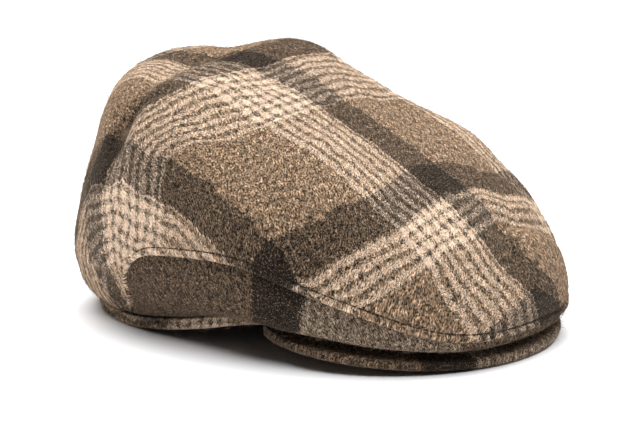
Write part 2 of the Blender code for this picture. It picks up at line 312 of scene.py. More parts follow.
# How the fibres differ: their lengths as shares of the usual one, and how steeply they stand, which a power
# skews to flat. Each rises over a share of half a turn, and loses a share of its width towards its tip.
NAP_LENGTHS = (0.4, 1.2)
NAP_STANDS = (0.05, 0.6)
NAP_SKEW = 1.5
NAP_ARC = 0.6
NAP_TAPER = 0.7

# The camera, in metres and degrees round the cap from the front, with its lens in millimetres.
TARGET = (0.0126, 0.0083, 0.0476)
CAMERA_DISTANCE = 1.0
CAMERA_AZIMUTH = -52.0
CAMERA_ELEVATION = 12.0
CAMERA_LENS = 112.5

# The overhead light's direction, width and strength, and the sky's strength low down and high up.
KEY_AZIMUTH = 130
KEY_ELEVATION = 82
KEY_SPREAD = 80
KEY_STRENGTH = 6.3
KEY_DISTANCE = 1.5
SKY_LOW = 1.20
SKY_HIGH = 1.45

# The paper floor: half its width in metres, its faint grain in features to a metre, and its two tones.
FLOOR_HALF = 4.0
PAPER_GRAIN = 60
PAPER_LOW = (0.91, 0.91, 0.92)
PAPER_HIGH = (0.93, 0.93, 0.94)


def turned(angle):
    """The angle from -180 to 180 degrees."""
    return (angle + 180) % 360 - 180


def mirrored_sections():
    """The sections for angles from below 0 to above 180, so that the table's ends have neighbours."""
    before = [s._replace(angle=-s.angle) for s in SECTIONS[2:0:-1]]
    after = [s._replace(angle=360 - s.angle) for s in SECTIONS[-2:-4:-1]]
    return np.array((*before, *SECTIONS, *after))


TABLE = mirrored_sections()


def section_at(angle):
    """The sections at an array of angles, read smoothly between the table's rows."""
    angle = np.abs(turned(angle))
    xs = TABLE[:, 0]
    i = np.clip(np.searchsorted(xs, angle) - 1, 1, len(xs) - 3)
    span = (xs[i + 1] - xs[i])[:, None]
    t = (angle - xs[i])[:, None] / span
    rise = TABLE[i + 1] - TABLE[i]
    low = (TABLE[i + 1] - TABLE[i - 1]) / (xs[i + 1] - xs[i - 1])[:, None]
    high = (TABLE[i + 2] - TABLE[i]) / (xs[i + 2] - xs[i])[:, None]
    a, b = low * span - rise, rise - high * span
    return Section(*(TABLE[i] + t * rise + t * (1 - t) * ((1 - t) * a + t * b)).T)


def plan_reach(angle, side, front, back, front_power, back_power):
    """The distances from the head's middle to a rounded outline, which is longer at one end."""
    across, along = np.abs(np.sin(np.radians(angle))), np.cos(np.radians(angle))
    end = np.where(along > 0, front, back)
    power = np.where(along > 0, front_power, back_power)
    return ((across / side) ** power + (np.abs(along) / end) ** power) ** (-1 / power)


def head_reach(angle):
    half = HEAD_LENGTH / 2
    return plan_reach(angle, HEAD_WIDTH / 2, half, half, HEAD_SQUARENESS, HEAD_SQUARENESS)


def outline_reach(angle):
    return plan_reach(angle, CROWN_SIDE, CROWN_FRONT, CROWN_BACK, FRONT_SQUARENESS, BACK_SQUARENESS)


def profile(angle):
    """The (distance, height) points up the shell at each angle, one for each step and one past the middle."""
    s, head, outline = section_at(angle), head_reach(angle), outline_reach(angle)
    across, across_outline = section_at(angle + 180), outline_reach(angle + 180)
    tuck = head + s.tuck_r * (outline - head)
    rim_z = s.rim_z * CROWN_HEIGHT
    places = (
        (head, rim_z),
        (head + HEM_R * (tuck - head), rim_z + RIM_BAND_HEIGHT),
        (tuck, s.tuck_z * CROWN_HEIGHT),
        (s.lip_r * outline, s.lip_z * CROWN_HEIGHT),
        (s.seam_r * outline, s.seam_z * CROWN_HEIGHT),
        (s.cheek_r * outline, s.cheek_z * CROWN_HEIGHT),
        (s.brow_r * outline, s.brow_z * CROWN_HEIGHT),
        (s.top_r * outline, s.top_z * CROWN_HEIGHT),
        (0 * head, MIDDLE_Z * CROWN_HEIGHT + 0 * head),
        (-across.top_r * across_outline, across.top_z * CROWN_HEIGHT),
    )
    return np.array(places).transpose(2, 0, 1)


def outward(angle):
    return np.stack([np.sin(np.radians(angle)), -np.cos(np.radians(angle)), 0 * angle], axis=-1)


def smooth_step(points, step):
    """The (distance, height) at each step up the profiles, on smooth curves through their points."""
    i = np.clip(step.astype(int), 0, TOP - 1)
    t = (step - i)[:, None]
    row = np.arange(len(step))
    p0, p1, p2, p3 = (points[row, np.maximum(i + k, 0)] for k in (-1, 0, 1, 2))
    d01, d12, d23 = (np.linalg.norm(b - a, axis=1)[:, None] ** 0.5 for a, b in ((p0, p1), (p1, p2), (p2, p3)))
    d01 = np.maximum(d01, 1e-6)
    bend = d12 * ((p1 - p0) / d01 - (p2 - p0) / (d01 + d12))
    m1 = (p2 - p1) + np.where(i[:, None] > 0, bend, 0)
    m2 = (p2 - p1) + d12 * ((p3 - p2) / d23 - (p3 - p1) / (d12 + d23))
    a, b = 2 * (p1 - p2) + m1 + m2, -3 * (p1 - p2) - 2 * m1 - m2
    return ((a * t + b) * t + m1) * t + p1


def near_line(places, row):
    """How far along a fold's or crease's line each place lies, and how near it is, which is 1 on the line."""
    plan = places[..., :2]
    start = np.array((row.start_x * CROWN_SIDE, row.start_y * CROWN_FRONT))
    line = np.array((row.end_x * CROWN_SIDE, row.end_y * CROWN_FRONT)) - start
    share = np.clip((plan - start) @ line / (line @ line), 0, 1)
    away = np.linalg.norm(plan - start - share[..., None] * line, axis=-1) / (row.reach * CROWN_SIDE)
    return share, np.exp(-away * away)


def fold_depth(place):
    """How far the folds push the crown in at each place."""
    depth = 0.0
    for fold in FOLDS:
        share, near = near_line(place, fold)
        here = fold.start_depth + (fold.end_depth - fold.start_depth) * share
        depth = depth + here * CROWN_HEIGHT * near
    return depth


def crease_depth(places):
    """How far the creases are pressed in at each place of a grid."""
    depth = 0.0
    for crease in CREASES:
        depth = depth + crease.depth * near_line(places, crease)[1]
    return depth


def leaning(angle, step):
    """The angles with the lean of the band's ends, which run back on their way down to the rim."""
    turn = turned(angle)
    nearness = np.exp(-(((np.abs(turn) - BAND_END) / BAND_END_SPREAD) ** 2))
    fall = np.maximum(SEAM - step, 0) / (SEAM - HEM)
    return angle + np.copysign(BAND_END_LEAN * nearness * fall, turn)


def shell(angle, step):
    """The middle of the cloth at arrays of angles round the head and steps up the profile."""
    shape = np.broadcast(angle, step).shape
    angle, step = (np.broadcast_to(v, shape).astype(float).ravel() for v in (angle, step))
    angle = leaning(angle, step)
    distance, height = smooth_step(profile(angle), step).T
    place = outward(angle) * distance[:, None]
    place[:, 2] = height
    over_seam = np.clip(step - SEAM, 0, 1)
    inside = np.array((0, 0, FOLD_CENTRE_Z * CROWN_HEIGHT)) - place
    inside /= np.linalg.norm(inside, axis=1)[:, None]
    place += inside * (fold_depth(place) * over_seam)[:, None]
    return place.reshape(*shape, 3)


def seam_step(angle):
    """The steps up the profile where band and crown meet: level, with a round corner at the band's ends."""
    corner = math.degrees(SEAM_CORNER_RADIUS / outline_reach(np.array([BAND_END]))[0])
    turn = (np.abs(angle) - (BAND_END - corner)) / corner
    drop = 1 - np.sqrt(np.maximum(1 - np.clip(turn, 0, 1) ** 2, 0))
    return SEAM - drop * (SEAM - LIP) * SEAM_DROP


def lengths_along(places):
    """How far along a path each of its places is."""
    return np.concatenate([[0], np.cumsum(np.linalg.norm(np.diff(places, axis=0), axis=1))])


def evenly(angles, steps, count):
    """The path's angles and steps at count places that are evenly spaced along the cloth."""
    lengths = lengths_along(shell(angles, steps))
    wanted = np.linspace(0, lengths[-1], count)
    return np.interp(wanted, lengths, angles), np.interp(wanted, lengths, steps)


def beside(angles, steps, distance):
    """The path moved sideways over the cloth, up off the seam if distance is above 0."""
    along = np.gradient(shell(angles, steps), axis=0)
    degrees = shell(angles + ANGLE_PROBE, steps) - shell(angles - ANGLE_PROBE, steps)
    per_degree = degrees / (2 * ANGLE_PROBE)
    per_step = (shell(angles, steps + STEP_PROBE) - shell(angles, steps - STEP_PROBE)) / (2 * STEP_PROBE)
    side = np.cross(np.cross(per_degree, per_step), along)
    side *= (distance / np.linalg.norm(side, axis=1))[:, None]
    more_angle = (side * per_degree).sum(1) / (per_degree**2).sum(1)
    more_step = (side * per_step).sum(1) / (per_step**2).sum(1)
    return angles + more_angle, steps + more_step


def seam_path():
    angles = np.linspace(-BAND_END, BAND_END, EDGE_SAMPLES)
    return angles, seam_step(angles)


def crown_edge():
    """The crown's edge: from the band's right end round the front, down the left end, round the back rim."""
    angles, steps = seam_path()
    fall = np.linspace(steps[-1], CLOTH_EDGE, EDGE_SAMPLES // 8)[1:]
    back = np.linspace(angles[-1], angles[0] + 360, EDGE_SAMPLES // 2)[1:]
    rise = fall[::-1]
    edge_angles = np.concatenate([angles, 0 * fall + angles[-1], back, 0 * rise + angles[0] + 360])
    edge_steps = np.concatenate([steps, fall, 0 * back + CLOTH_EDGE, rise])
    return beside(edge_angles, edge_steps, -LAP * lapping(edge_steps))


def lapping(steps):
    """How much of the lap there is at each step of the crown's edge: all above the tuck, none at the hem."""
    return np.clip((steps - CLOTH_EDGE) / (TUCK - CLOTH_EDGE), 0, 1)


def normals_of(places, closed):
    """The outward unit normals of a grid of places, whose rows go up and whose columns go round."""
    if closed:
        wide = np.concatenate([places[:, -1:], places, places[:, :1]], axis=1)
        round_way = (wide[:, 2:] - wide[:, :-2]) / 2
    else:
        round_way = np.gradient(places, axis=1)
    normals = np.cross(round_way, np.gradient(places, axis=0))
    return normals / np.linalg.norm(normals, axis=2)[:, :, None]


def uneven(places):
    """The height of the cloth's soft unevenness at each place of a grid."""
    flat = places.reshape(-1, 3)
    height = np.zeros(len(flat))
    for size in UNEVENNESS:
        height += [size.height * noise.noise(Vector(p) / size.length) for p in flat]
    return height.reshape(places.shape[:2])


def rounded(inset, thickness):
    """Half the thickness of a cloth, rounded off at its free edges, at distances in from the nearest edge."""
    near = np.clip(inset / (thickness / 2), 0, 1)
    return thickness / 2 * np.sqrt(1 - (1 - near) ** 2)


def edge_insets(places, rows, columns):
    """How far in from its free edges each place of a grid is: the first and last rows, columns, or both."""
    inset = np.full(places.shape[:2], 1.0)
    if rows:
        seg = np.linalg.norm(np.diff(places, axis=0), axis=2)
        down = np.concatenate([np.zeros_like(seg[:1]), np.cumsum(seg, axis=0)])
        inset = np.minimum(inset, down)
        if rows == 2:
            inset = np.minimum(inset, down[-1:] - down)
    if columns:
        seg = np.linalg.norm(np.diff(places, axis=1), axis=2)
        over = np.concatenate([np.zeros_like(seg[:, :1]), np.cumsum(seg, axis=1)], axis=1)
        inset = np.minimum(inset, np.minimum(over, over[:, -1:] - over))
    return inset


def close_spacing(count, tight):
    """Shares from 0 to 1 that lie closer together near 0, and near 1 too if tight is 2."""
    t = np.linspace(0, 1, count)
    if tight == 2:
        return (1 - np.cos(np.pi * t)) / 2 * (1 - BOTH_EVEN) + t * BOTH_EVEN
    return ONE_EVEN * t + (1 - ONE_EVEN) * t**ONE_BUNCHING


def grid_quads(rows, columns, closed, first=0):
    quads = []
    for i in range(rows - 1):
        for j in range(columns if closed else columns - 1):
            k = (j + 1) % columns
            a, b = first + i * columns, first + (i + 1) * columns
            quads.append((a + j, a + k, b + k, b + j))
    return quads


def add_piece(name, points, faces, cloth, material, slot, *replaced):
    """A smooth mesh that rides on the cap, with its place on the flat cloth kept as a UV map in metres."""
    mesh = bpy.data.meshes.new(name)
    points = points + MOVE
    points[:, 2] = np.maximum(points[:, 2], FLOOR_GAP)
    mesh.from_pydata(points.tolist(), [], faces)
    mesh.update()
    uv = mesh.uv_layers.new(name="cloth")
    corners = np.empty(len(mesh.loops), dtype=np.int32)
    mesh.loops.foreach_get("vertex_index", corners)
    uv.data.foreach_set("uv", cloth[corners].astype(np.float32).ravel())
    mesh.shade_smooth()
    mesh.materials.append(material)
    thing = bpy.data.objects.new(name, mesh)
    bpy.context.scene.collection.objects.link(thing)
    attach(thing, "root")
    if replaced:
        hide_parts(*replaced)
    return thing


def add_sheet(name, places, half, relief, cloth, material, slot, node, closed, middle):
    """A cloth with two sides, which meet at its free edges. The relief is on the outer side."""
    rows, columns = places.shape[:2]
    normals = normals_of(places, closed)
    outer = places + normals * (half + relief)[:, :, None]
    inner = places - normals * half[:, :, None]
    points = np.concatenate([outer.reshape(-1, 3), inner.reshape(-1, 3)])
    cloth = np.concatenate([cloth.reshape(-1, 2)] * 2)
    count = rows * columns
    faces = grid_quads(rows, columns, closed)
    faces += [quad[::-1] for quad in grid_quads(rows, columns, closed, count)]
    if middle is not None:
        top = middle + np.array((0, 0, CLOTH_THICKNESS / 2))
        bottom = middle - np.array((0, 0, CLOTH_THICKNESS / 2))
        points = np.concatenate([points, [top, bottom]])
        cloth = np.concatenate([cloth, [[0, 0], [0, 0]]])
        last = count - columns
        for j in range(columns):
            k = (j + 1) % columns
            faces.append((last + j, last + k, 2 * count))
            faces.append((count + last + k, count + last + j, 2 * count + 1))
    piece = add_piece(name, points, faces, cloth, material, slot, node)
    weld = piece.modifiers.new("edges", "WELD")
    weld.merge_threshold = WELD_DISTANCE
    return piece, outer, normals


def between(place, lines, marks):
    """Places measured by the lines that they lie between: each line is at its mark on the even cloth."""
    even = place - lines[0] + marks[0]
    for low, high, mark, next_mark in zip(lines, lines[1:], marks, marks[1:]):
        share = np.clip((place - low) / (high - low), 0, 1)
        even = even + share * ((next_mark - mark) - (high - low))
    return even


def crown_cloth(places, middle):
    """Where each place of the crown lies on the even cloth, from the crossing of its far and back stripes."""
    rows = np.concatenate([places, np.broadcast_to(middle, (1, *places.shape[1:]))])
    pieces = np.linalg.norm(np.diff(rows, axis=0), axis=2)
    arc = np.cumsum(pieces[::-1], axis=0)[::-1]
    x, y = places[..., 0], places[..., 1]
    reach = np.hypot(x, y)
    stretch = np.maximum(arc / reach, 1)
    across = x * stretch ** ((x / reach) ** 2)
    along = y * stretch ** ((y / reach) ** 2) - CLOTH_BOW * np.minimum(np.abs(across), BOW_REACH) ** 2
    at, *runs = np.array(RUNS).T
    far, near = (-np.interp(along, at, run) for run in runs)
    at, *bends = np.array(BENDS).T
    back, middle_stripe, front = (-np.interp(across, at, bend) for bend in bends)
    over = between(-across, (far, near), (0, THREAD * sum(s.threads for s in ACROSS)))
    ahead = between(-along, (back, middle_stripe, front), [THREAD * mark for mark in BEND_MARKS])
    return np.stack([over, ahead], axis=-1)


def welt_relief(inset, on_seam, along):
    """The relief of the crown beside the seam: a puffed welt, the stitched groove, and a soft puff."""
    welt = WELT_HEIGHT * np.sin(np.pi * np.clip(inset / WELT_WIDTH, 0, 1))
    groove = -GROOVE_DEPTH * np.exp(-(((inset - WELT_WIDTH) / GROOVE_WIDTH) ** 2))
    past = np.maximum(inset - WELT_WIDTH, 0) / PUFF_REACH
    puff = PUFF_HEIGHT * 4 * past * np.exp(-2 * past)
    pucker = [PUCKER_HEIGHT * noise.noise(Vector((a / PUCKER_LENGTH, 0, 0))) for a in along]
    return on_seam * (welt + groove + puff + np.array(pucker)[None, :] * np.exp(-inset / PUFF_REACH))


def add_crown(material):
    edge_angles, edge_steps = (values[:-1] for values in evenly(*crown_edge(), CROWN_COLUMNS + 1))
    share = close_spacing(CROWN_ROWS + 1, 1)[:-1, None]
    even = edge_angles[0] + 360 * np.arange(CROWN_COLUMNS) / CROWN_COLUMNS
    angles = edge_angles + (even - edge_angles) * share
    steps = edge_steps + (TOP - edge_steps) * share
    places = shell(angles, steps)
    middle = shell(np.array([0.0]), np.array([float(TOP)]))[0]
    inset = edge_insets(places, 1, 0)
    on_seam = lapping(edge_steps)[None, :]
    lift = LAP_LIFT * on_seam * np.exp(-((inset / LAP_REACH) ** 2))
    creased = crease_depth(places) * np.clip(inset / PUFF_REACH, 0, 1)
    places = places + normals_of(places, True) * (lift - creased)[:, :, None]
    along = lengths_along(places[0])
    relief = welt_relief(inset, on_seam, along) * np.clip(inset / CLOTH_THICKNESS, 0, 1) ** 0.5
    fade = np.clip(inset / PUFF_REACH, 0, 1) * np.clip(MIDDLE_FADE * (1 - share), 0, 1)
    relief = relief + uneven(places) * fade
    cloth = crown_cloth(places, middle)
    half = rounded(inset, CLOTH_THICKNESS)
    sheet = (places, half, relief, cloth, material)
    return *add_sheet("crown_cloth", *sheet, "crown_cloth", "crown", True, middle), inset, on_seam[0]


def add_front_band(material):
    angles, highs = evenly(*beside(*seam_path(), -SEAM_GAP / 2), BAND_COLUMNS)
    share = close_spacing(BAND_ROWS, 2)[:, None]
    steps = CLOTH_EDGE + (highs - CLOTH_EDGE) * share
    places = shell(angles + 0 * share, steps)
    inset = edge_insets(places, 2, 1)
    under = LAP_SINK * lapping(steps) * np.exp(-((edge_insets(places[::-1], 1, 1)[::-1] / LAP_REACH) ** 2))
    places = places - normals_of(places, False) * under[:, :, None]
    down = np.cumsum(np.linalg.norm(np.diff(places[::-1], axis=0, prepend=places[-1:]), axis=2), axis=0)[::-1]
    along = lengths_along(places[-1])
    cloth = np.stack(np.broadcast_arrays(along[None, :], down), axis=-1)
    relief = uneven(places) * np.clip(inset / PUFF_REACH, 0, 1)
    half = rounded(inset, CLOTH_THICKNESS)
    sheet = (places, half, relief, cloth, material)
    return add_sheet("front_band_cloth", *sheet, "band_cloth", "front_band", False, None)[0]


def add_rim_band(material):
    angles = 360 * np.arange(RIM_COLUMNS) / RIM_COLUMNS
    base = shell(angles, np.zeros(RIM_COLUMNS))
    share = close_spacing(RIM_ROWS, 2)
    height = (RIM_BAND_HEIGHT - 2 * SEAM_GAP) * share
    places = base[None, :, :] + height[:, None, None] * np.array((0, 0, 1))
    inset = edge_insets(places, 2, 0)
    along = lengths_along(base)
    cloth = np.stack(np.broadcast_arrays(along[None, :], height[:, None]), axis=-1)
    relief = uneven(places) * np.clip(inset / RIM_BAND_THICKNESS, 0, 1)
    half = rounded(inset, RIM_BAND_THICKNESS)
    sheet = (places, half, relief, cloth, material)
    return add_sheet("rim_band_cloth", *sheet, "rim_cloth", "rim_band", True, None)[0]


def peak_places():
    """The middle of the peak: rows from its edge in to its root, columns from right corner to left."""
    turn = close_spacing(PEAK_COLUMNS, 2) * 2 - 1
    angles = turn * PEAK_CORNER
    reach = PEAK_REACH * (PEAK_CORNER_SHARE + (1 - PEAK_CORNER_SHARE) * np.sqrt(1 - turn * turn))
    root = shell(angles, np.zeros(PEAK_COLUMNS))
    edge_height = PEAK_THICKNESS / 2 + (root[:, 2] - PEAK_THICKNESS / 2) * turn * turn
    tilt = np.arctan2(root[:, 2] - edge_height, reach)
    clear = RIM_BAND_THICKNESS / 2 + ROOT_GAP + PEAK_THICKNESS / 2 * np.sin(tilt)
    share = close_spacing(PEAK_ROWS, 2)[:, None]
    places = root[None] + outward(angles)[None] * (clear + reach * share)[:, :, None]
    places[:, :, 2] = root[:, 2] + (edge_height - root[:, 2]) * share
    return places[::-1]


def add_peak(material):
    places = peak_places()
    inset = edge_insets(places, 2, 1)
    relief = uneven(places) * np.clip(inset / PEAK_THICKNESS, 0, 1)
    half = rounded(inset, PEAK_THICKNESS)
    top = places + normals_of(places, False) * half[:, :, None]
    in_from_edge = np.cumsum(np.linalg.norm(np.diff(top, axis=0, prepend=top[:1]), axis=2), axis=0)
    cloth = np.stack(np.broadcast_arrays(lengths_along(places[0])[None, :], in_from_edge), axis=-1)
    sheet = (places, half, relief, cloth, material)
    return add_sheet("peak_cloth", *sheet, "peak_cloth", "peak", False, None)[0]


class Nodes:
    """A few short ways to write a material's nodes."""

    def __init__(self, name):
        self.material = bpy.data.materials.new(name)
        self.material.use_nodes = True
        self.tree = self.material.node_tree
        self.shader = self.tree.nodes["Principled BSDF"]

    def node(self, kind, **settings):
        node = self.tree.nodes.new(kind)
        for key, value in settings.items():
            setattr(node, key, value)
        return node

    def put(self, value, socket):
        if isinstance(value, bpy.types.NodeSocket):
            self.tree.links.new(value, socket)
        else:
            socket.default_value = value

    def math(self, operation, *values):
        node = self.node("ShaderNodeMath", operation=operation)
        for value, socket in zip(values, node.inputs):
            self.put(value, socket)
        return node.outputs[0]

    def vector(self, operation, *values):
        node = self.node("ShaderNodeVectorMath", operation=operation)
        for value, socket in zip(values, node.inputs):
            self.put(value, socket)
        return node.outputs[0]

    def scaled(self, vector, factor):
        node = self.node("ShaderNodeVectorMath", operation="SCALE")
        self.put(vector, node.inputs[0])
        self.put(factor, node.inputs["Scale"])
        return node.outputs[0]

    def mix(self, factor, a, b, blend="MIX"):
        node = self.node("ShaderNodeMix", data_type="RGBA", blend_type=blend)
        self.put(factor, node.inputs[0])
        self.put(a, node.inputs[6])
        self.put(b, node.inputs[7])
        return node.outputs[2]

    def noise(self, vector, scale, detail=2.0):
        node = self.node("ShaderNodeTexNoise")
        self.put(vector, node.inputs["Vector"])
        node.inputs["Scale"].default_value = scale
        node.inputs["Detail"].default_value = detail
        return node.outputs

    def white(self, value):
        node = self.node("ShaderNodeTexWhiteNoise", noise_dimensions="1D")
        self.put(value, node.inputs["W"])
        return node.outputs["Value"]


def stripe_colours(nodes, thread, stripes):
    """The thread's colour, and its stripe's average colour, for a thread's number across the stripes."""
    place = nodes.math("FLOORED_MODULO", thread, float(sum(s.threads for s in stripes)))
    turn = nodes.math("FLOORED_MODULO", place, float(TOOTH_PERIOD))
    pale = nodes.math("LESS_THAN", turn, TOOTH_CREAM - 0.5)
    colours = {"dark": ((*DARK, 1),) * 2}
    share = TOOTH_CREAM / TOOTH_PERIOD
    pairs = (("tooth", TOOTH_BROWN, CREAM), ("brown", DEEP_BROWN, PALE_BROWN), ("fawn", PALE_BROWN, FAWN))
    for kind, low, high in pairs:
        blended = tuple(a * (1 - share) + b * share for a, b in zip(low, high))
        colours[kind] = nodes.mix(pale, (*low, 1), (*high, 1)), (*blended, 1)
    colour, average = colours[stripes[0].kind]
    start = 0
    for before, stripe in zip(stripes, stripes[1:]):
        start += before.threads
        past = nodes.math("GREATER_THAN", place, start - 0.5)
        own, mean = colours[stripe.kind]
        colour = nodes.mix(past, colour, own)
        average = nodes.mix(past, average, mean)
    return colour, average


def add_stitches(outer, normals, inset, on_seam, material):
    """The topstitching: short threads that lie end to end in the groove above the welt."""
    line = []
    for j in np.flatnonzero(on_seam > STITCHED_LAP):
        i = int(np.searchsorted(inset[:, j], WELT_WIDTH))
        t = (WELT_WIDTH - inset[i - 1, j]) / (inset[i, j] - inset[i - 1, j])
        line.append(np.concatenate([outer[i - 1, j] * (1 - t) + outer[i, j] * t, normals[i, j]]))
    line = np.array(line)
    jump = int(np.argmax(np.linalg.norm(np.diff(line[:, :3], axis=0), axis=1)))
    line = np.roll(line, -(jump + 1), axis=0)
    lengths = lengths_along(line[:, :3])
    count = int(lengths[-1] / (STITCH_LENGTH + STITCH_GAP))
    points, faces = [], []
    round_way = np.linspace(0, 2 * np.pi, STITCH_SIDES, endpoint=False)
    for k in range(count):
        first = len(points)
        for r in range(STITCH_RINGS):
            t = r / (STITCH_RINGS - 1)
            at = k * (STITCH_LENGTH + STITCH_GAP) + t * STITCH_LENGTH
            here = np.array([np.interp(at, lengths, values) for values in line.T])
            ahead = np.array([np.interp(at + STITCH_PROBE, lengths, values) for values in line.T])
            along = Vector(ahead[:3] - here[:3]).normalized()
            up = Vector(here[3:]).normalized()
            side = along.cross(up)
            bulge = math.sin(math.pi * (STITCH_END + (1 - 2 * STITCH_END) * t)) ** 0.5
            centre = Vector(here[:3]) + up * STITCH_RADIUS * (bulge - STITCH_SINK)
            for turn in round_way:
                points.append(centre + (side * math.cos(turn) + up * math.sin(turn)) * STITCH_RADIUS * bulge)
        faces += grid_quads(STITCH_RINGS, STITCH_SIDES, True, first)
        faces.append(tuple(range(first + STITCH_SIDES - 1, first - 1, -1)))
        last = first + (STITCH_RINGS - 1) * STITCH_SIDES
        faces.append(tuple(range(last, last + STITCH_SIDES)))
    points = np.array([tuple(p) for p in points])
    add_piece("crown_stitches", points, faces, points[:, :2].copy(), material, "crown_cloth")


def add_thread():
    """Dark sewing thread, twisted and slightly waxy."""
    nodes = Nodes("sewing_thread")
    uv = nodes.node("ShaderNodeUVMap", uv_map="cloth").outputs["UV"]
    strand = nodes.noise(uv, 5000, 2)["Fac"]
    dark, light = (*THREAD_COLOUR, 1), (*(THREAD_TWIST * c for c in THREAD_COLOUR), 1)
    nodes.put(nodes.mix(strand, dark, light), nodes.shader.inputs["Base Color"])
    nodes.shader.inputs["Roughness"].default_value = 0.7
    return nodes.material


def wandering(nodes, flat, grain, width):
    """A shift of the cloth to both sides by a noise, as wide as that in metres."""
    noise_colour = nodes.noise(flat, grain.scale, grain.detail)["Color"]
    return nodes.scaled(nodes.vector("SUBTRACT", noise_colour, (0.5,) * 3), width)


def lit(nodes, value, grain):
    """What a noise gives: gain times its value plus base, and no less than least."""
    return nodes.math("MAXIMUM", nodes.math("MULTIPLY_ADD", value, grain.gain, grain.base), grain.least)


def add_wool(wool, fibres):
    """Checked wool for a cloth or its nap: a 2/2 twill of striped threads, from the UV map in metres."""
    nodes = Nodes(wool.piece + ("_nap_wool" if fibres else "_wool"))
    tone = wool.nap_tone if fibres else wool.tone
    uv = nodes.node("ShaderNodeUVMap", uv_map="cloth").outputs["UV"]
    mapping = nodes.node("ShaderNodeMapping")
    nodes.put(uv, mapping.inputs["Vector"])
    mapping.inputs["Location"].default_value = (*wool.start, 0)
    flat = mapping.outputs["Vector"]
    drift = wandering(nodes, flat, DRIFTS, DRIFT)
    fray = wandering(nodes, flat, FRAYS, wool.fray)
    woven = nodes.scaled(nodes.vector("ADD", flat, nodes.vector("ADD", drift, fray)), 1 / THREAD)
    split = nodes.node("ShaderNodeSeparateXYZ")
    nodes.put(woven, split.inputs[0])
    across, along = split.outputs[0], split.outputs[1]
    warp_thread, weft_thread = nodes.math("FLOOR", across), nodes.math("FLOOR", along)
    warp, warp_mean = stripe_colours(nodes, warp_thread, wool.stripes[0])
    weft, weft_mean = stripe_colours(nodes, weft_thread, wool.stripes[1])
    diagonal = nodes.math("FLOORED_MODULO", nodes.math("SUBTRACT", warp_thread, weft_thread), 4.0)
    over = nodes.math("LESS_THAN", diagonal, 1.5)
    darker = nodes.mix(1.0, weft, warp, "DARKEN")
    covering = nodes.math("MULTIPLY", nodes.math("LESS_THAN", darker, DARK_LIMIT), DARK_COVER)
    thread_colour = nodes.mix(covering, nodes.mix(over, weft, warp), darker)
    colour = nodes.mix(FELTED, thread_colour, nodes.mix(0.5, weft_mean, warp_mean))
    fleck = nodes.noise(nodes.vector("ADD", flat, (3, 5, 0)), FLECKS.scale, FLECKS.detail)["Fac"]
    fleck = lit(nodes, fleck, FLECKS)
    lone = nodes.mix(over, nodes.white(weft_thread), nodes.white(warp_thread))
    wale = nodes.node("ShaderNodeMapping", vector_type="TEXTURE")
    nodes.put(flat, wale.inputs["Vector"])
    wale.inputs["Rotation"].default_value = (0, 0, math.radians(WALE_DEGREES))
    wale.inputs["Scale"].default_value = (WALE_STRETCH, 1, 1)
    fibre = nodes.noise(wale.outputs["Vector"], FIBRES.scale, FIBRES.detail)["Fac"]
    speck = nodes.noise(wale.outputs["Vector"], SPECKS.scale, SPECKS.detail)["Fac"]
    worn = nodes.noise(flat, WEAR.scale, WEAR.detail)["Fac"]
    light = nodes.math("MULTIPLY", lit(nodes, fibre, FIBRES), lit(nodes, speck, SPECKS))
    light = nodes.math("MULTIPLY", light, lit(nodes, worn, WEAR))
    light = nodes.math("MULTIPLY", light, nodes.math("MULTIPLY_ADD", lone, LONE_GAIN, LONE_BASE))
    light = nodes.math("MULTIPLY", light, tone)
    depth = nodes.math("MULTIPLY_ADD", colour, PALE_GRAIN, DARK_GRAIN)
    light = nodes.math("MULTIPLY_ADD", nodes.math("SUBTRACT", light, tone), depth, tone)
    shaded = nodes.mix(fleck, nodes.scaled(colour, light), (*FLECK, 1))
    nodes.put(shaded, nodes.shader.inputs["Base Color"])
    nodes.shader.inputs["Roughness"].default_value = 0.95
    nodes.shader.inputs["Specular IOR Level"].default_value = 0.15
    nodes.shader.inputs["Sheen Weight"].default_value = 0.12
    nodes.shader.inputs["Sheen Roughness"].default_value = 0.45
    nodes.shader.inputs["Sheen Tint"].default_value = (*SHEEN, 1)
    if not fibres:
        warp_round = nodes.math("PINGPONG", across, 0.5)
        weft_round = nodes.math("PINGPONG", along, 0.5)
        thread = nodes.math("MULTIPLY", nodes.mix(over, weft_round, warp_round), THREAD_RELIEF)
        height = nodes.math("ADD", thread, nodes.math("MULTIPLY", fibre, FIBRE_RELIEF))
        height = nodes.math("ADD", height, nodes.math("MULTIPLY", speck, SPECK_RELIEF))
        bump = nodes.node("ShaderNodeBump")
        bump.inputs["Strength"].default_value = BUMP_STRENGTH
        bump.inputs["Distance"].default_value = BUMP_HEIGHT
        nodes.put(height, bump.inputs["Height"])
        nodes.put(bump.outputs["Normal"], nodes.shader.inputs["Normal"])
    return nodes.material


